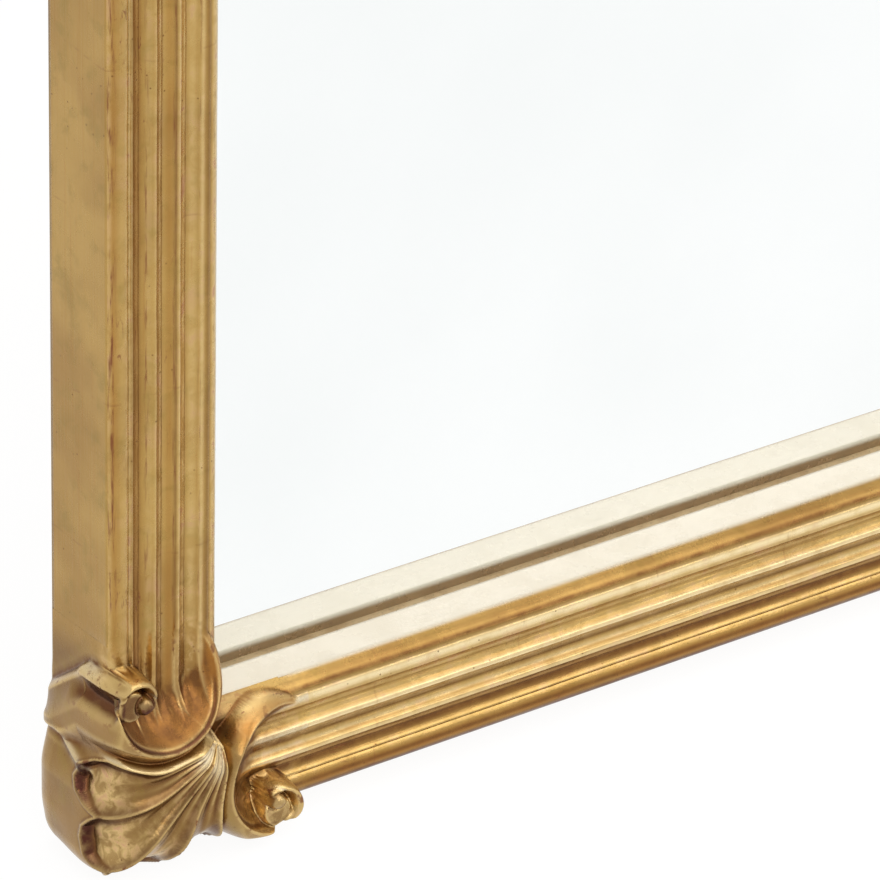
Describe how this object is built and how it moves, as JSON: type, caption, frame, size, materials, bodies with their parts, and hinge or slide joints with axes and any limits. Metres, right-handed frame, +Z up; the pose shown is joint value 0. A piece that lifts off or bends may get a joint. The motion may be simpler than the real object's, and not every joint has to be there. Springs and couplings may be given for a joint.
{
  "type": "pier mirror",
  "caption": "Tall wall mirror in a gilt reeded frame with carved shell corners, board back held by turn buttons, and ring hangers.",
  "frame": {"origin": "middle of the wall plane behind the mirror, in the plane of the wall bumpers' back faces", "axes": "+Z up the mirror's height, +X to the right as seen from the front, +Y from the mirror's face to the wall"},
  "size_m": [0.7192, 0.0746, 1.6992],
  "materials": {
    "gilt_moulding": "worn gold leaf over red bole on gessoed timber, satin",
    "gilt_carving": "worn gold leaf over red bole, satin to burnished",
    "gilt_slip": "toned gold paint on timber, dull",
    "spline_wood": "bare timber",
    "mirror_plate": "silvered plate glass",
    "buffer_card": "plain grey-brown board",
    "board_wood": "bare plywood, unvarnished",
    "button_brass": "dull brass",
    "hanger_brass": "dull brass",
    "ring_brass": "dull brass",
    "screw_steel": "zinc plated",
    "plate_steel": "zinc plated",
    "bumper_felt": "dense brown felt"
  },
  "bodies": {
    "frame": {"left_stile": "gilt_moulding", "right_stile": "gilt_moulding", "bottom_rail": "gilt_moulding", "top_rail": "gilt_moulding", "ornament_bottom_left": "gilt_carving", "ornament_bottom_right": "gilt_carving", "ornament_top_left": "gilt_carving", "ornament_top_right": "gilt_carving", "mitre_splines": "spline_wood", "mirror_glass": "mirror_plate", "left_slip": "gilt_slip", "right_slip": "gilt_slip", "bottom_slip": "gilt_slip", "top_slip": "gilt_slip", "buffer_sheet": "buffer_card", "backing_board": "board_wood", "button_screws": "screw_steel", "hanger_plate_left": "hanger_brass", "hanger_plate_right": "hanger_brass", "hanger_screws": "screw_steel", "corner_plates": "plate_steel", "plate_screws": "screw_steel", "wall_bumpers": "bumper_felt"},
    "button_left_top_body": {"button_left_top": "button_brass"},
    "button_left_middle_body": {"button_left_middle": "button_brass"},
    "button_left_bottom_body": {"button_left_bottom": "button_brass"},
    "button_right_top_body": {"button_right_top": "button_brass"},
    "button_right_middle_body": {"button_right_middle": "button_brass"},
    "button_right_bottom_body": {"button_right_bottom": "button_brass"},
    "button_top_body": {"button_top": "button_brass"},
    "button_bottom_body": {"button_bottom": "button_brass"},
    "hanger_ring_left_body": {"hanger_ring_left": "ring_brass"},
    "hanger_ring_right_body": {"hanger_ring_right": "ring_brass"}
  },
  "joints": [
    {"name": "button_left_top_turn", "type": "hinge", "parent": "frame", "child": "button_left_top_body", "pos_m": [-0.313, -0.0089, 0.45], "axis": [0, 1, 0], "continuous": true},
    {"name": "button_left_middle_turn", "type": "hinge", "parent": "frame", "child": "button_left_middle_body", "pos_m": [-0.313, -0.0089, 0], "axis": [0, 1, 0], "continuous": true},
    {"name": "button_left_bottom_turn", "type": "hinge", "parent": "frame", "child": "button_left_bottom_body", "pos_m": [-0.313, -0.0089, -0.45], "axis": [0, 1, 0], "continuous": true},
    {"name": "button_right_top_turn", "type": "hinge", "parent": "frame", "child": "button_right_top_body", "pos_m": [0.313, -0.0089, 0.45], "axis": [0, 1, 0], "continuous": true},
    {"name": "button_right_middle_turn", "type": "hinge", "parent": "frame", "child": "button_right_middle_body", "pos_m": [0.313, -0.0089, 0], "axis": [0, 1, 0], "continuous": true},
    {"name": "button_right_bottom_turn", "type": "hinge", "parent": "frame", "child": "button_right_bottom_body", "pos_m": [0.313, -0.0089, -0.45], "axis": [0, 1, 0], "continuous": true},
    {"name": "button_top_turn", "type": "hinge", "parent": "frame", "child": "button_top_body", "pos_m": [0, -0.0089, 0.803], "axis": [0, 1, 0], "continuous": true},
    {"name": "button_bottom_turn", "type": "hinge", "parent": "frame", "child": "button_bottom_body", "pos_m": [0, -0.0089, -0.803], "axis": [0, 1, 0], "continuous": true},
    {"name": "hanger_ring_left_swing", "type": "hinge", "parent": "frame", "child": "hanger_ring_left_body", "pos_m": [-0.327, -0.0047, 0.56], "axis": [1, 0, 0], "range_deg": [0, 180]},
    {"name": "hanger_ring_right_swing", "type": "hinge", "parent": "frame", "child": "hanger_ring_right_body", "pos_m": [0.327, -0.0047, 0.56], "axis": [1, 0, 0], "range_deg": [0, 180]}
  ]
}
